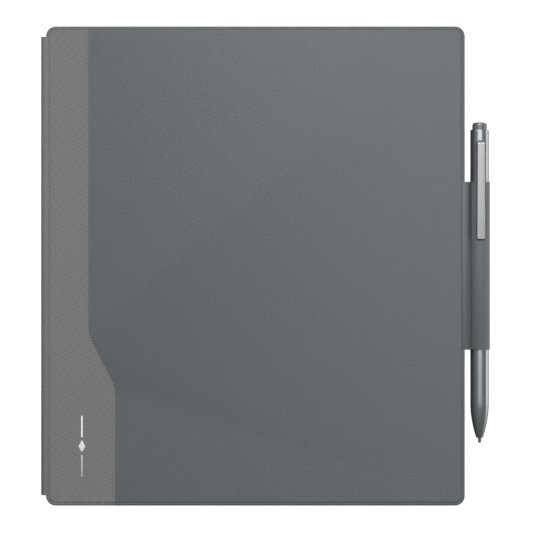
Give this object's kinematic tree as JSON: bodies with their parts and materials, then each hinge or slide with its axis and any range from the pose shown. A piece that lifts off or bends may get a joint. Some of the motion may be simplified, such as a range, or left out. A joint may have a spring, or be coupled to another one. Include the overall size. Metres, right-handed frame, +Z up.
{
  "type": "personal digital assistant",
  "caption": "E-paper note tablet shut in a book folio, with a twill spine and a clipped stylus held in a loop at the open edge.",
  "frame": {"origin": "centre of the closed folio's bounding box, on its underside", "axes": "+Z up from the rear cover to the front cover, +Y along the spine towards the stylus's clip end, +X from the spine to the stylus"},
  "size_m": [0.2176, 0.2322, 0.0123],
  "materials": {
    "leather": "fine pebble grain, satin, heat-pressed border",
    "twill": "diagonal twill weave, matt",
    "board": "pressed book board, matt",
    "microfibre": "brushed microfibre, matt",
    "magnet": "nickel plated",
    "tray": "fine moulded texture",
    "shell": "fine moulded texture",
    "magnesium": "cast, bead blasted",
    "battery": "foil pouch, satin",
    "board_green": "solder mask, satin gloss",
    "chip": "moulded, matt",
    "steel": "bright stamped",
    "flex": "amber film",
    "digitizer": "laminate, satin",
    "screen": "matt paper-like",
    "acrylic": "clear, polished",
    "lens": "etched anti-glare",
    "pen_metal": "dark satin metallic",
    "pen_plastic": "satin",
    "nib": "satin",
    "ferrite": "matt",
    "copper": "enamelled copper wire",
    "eraser": "milky, satin",
    "clip": "brushed lengthwise"
  },
  "bodies": {
    "tablet_and_rear_cover": {"rear_cover_skin": "leather", "rear_board": "board", "rear_lining": "microfibre", "holder_tray": "tray", "rear_shell": "shell", "chassis_frame": "magnesium", "chassis_screw_1": "steel", "chassis_screw_2": "steel", "chassis_screw_3": "steel", "chassis_screw_4": "steel", "battery_cell_left": "battery", "battery_cell_right": "battery", "main_board": "board_green", "shield_can": "steel", "processor": "chip", "hall_sensor": "chip", "speaker_left": "shell", "speaker_right": "shell", "microphone": "steel", "antenna": "flex", "usb_c_socket": "steel", "usb_c_tongue": "chip", "power_switch": "steel", "digitizer_board": "digitizer", "paper_screen": "screen", "light_guide": "acrylic", "light_strip": "flex", "front_lens": "lens", "display_flex": "flex"},
    "spine": {"spine_skin": "twill", "spine_stiffener": "board", "spine_lining": "microfibre"},
    "front_cover": {"front_cover_skin": "leather", "front_twill_panel": "twill", "front_board": "board", "front_lining": "microfibre", "closure_magnet_upper": "magnet", "closure_magnet_lower": "magnet"},
    "pen_loop": {"pen_loop": "leather"},
    "stylus": {"stylus_barrel": "pen_metal", "tip_cone": "pen_metal", "ferrite_core": "ferrite", "coil_winding": "copper", "pressure_sensor": "steel", "stylus_circuit_board": "board_green", "eraser_switch": "steel", "end_knob": "pen_plastic", "clip_mount": "pen_plastic"},
    "nib": {"nib": "nib", "nib_holder": "nib"},
    "eraser": {"eraser": "eraser"},
    "clip": {"stylus_clip": "clip"},
    "power_button": {"power_button": "shell"}
  },
  "joints": [
    {"name": "spine_fold", "type": "hinge", "parent": "tablet_and_rear_cover", "child": "spine", "pos_m": [-0.1078, 0, 0.001], "axis": [0, -1, 0], "range_deg": [0, 90]},
    {"name": "cover_fold", "type": "hinge", "parent": "spine", "child": "front_cover", "pos_m": [-0.1078, 0, 0.0113], "axis": [0, -1, 0], "range_deg": [0, 90]},
    {"name": "loop_flex", "type": "hinge", "parent": "front_cover", "child": "pen_loop", "pos_m": [0.09665, 0, 0.0116], "axis": [0, 1, 0], "range_deg": [-35, 0], "stiffness_Nm_per_rad": 0.02},
    {"name": "pen_slide", "type": "slide", "parent": "pen_loop", "child": "stylus", "axis": [0, 1, 0], "range_m": [0, 0.127]},
    {"name": "nib_press", "type": "slide", "parent": "stylus", "child": "nib", "axis": [0, 1, 0], "range_m": [0, 0.0004], "stiffness_N_per_m": 1500},
    {"name": "eraser_press", "type": "slide", "parent": "stylus", "child": "eraser", "axis": [0, -1, 0], "range_m": [0, 0.0004], "stiffness_N_per_m": 1500},
    {"name": "clip_flex", "type": "hinge", "parent": "stylus", "child": "clip", "pos_m": [0.10445, 0.059, 0.01126], "axis": [-0.9925, 0, 0.1219], "range_deg": [0, 4], "stiffness_Nm_per_rad": 0.5},
    {"name": "power_button_press", "type": "slide", "parent": "tablet_and_rear_cover", "child": "power_button", "axis": [0, -1, 0], "range_m": [0, 0.0004], "stiffness_N_per_m": 2000}
  ]
}
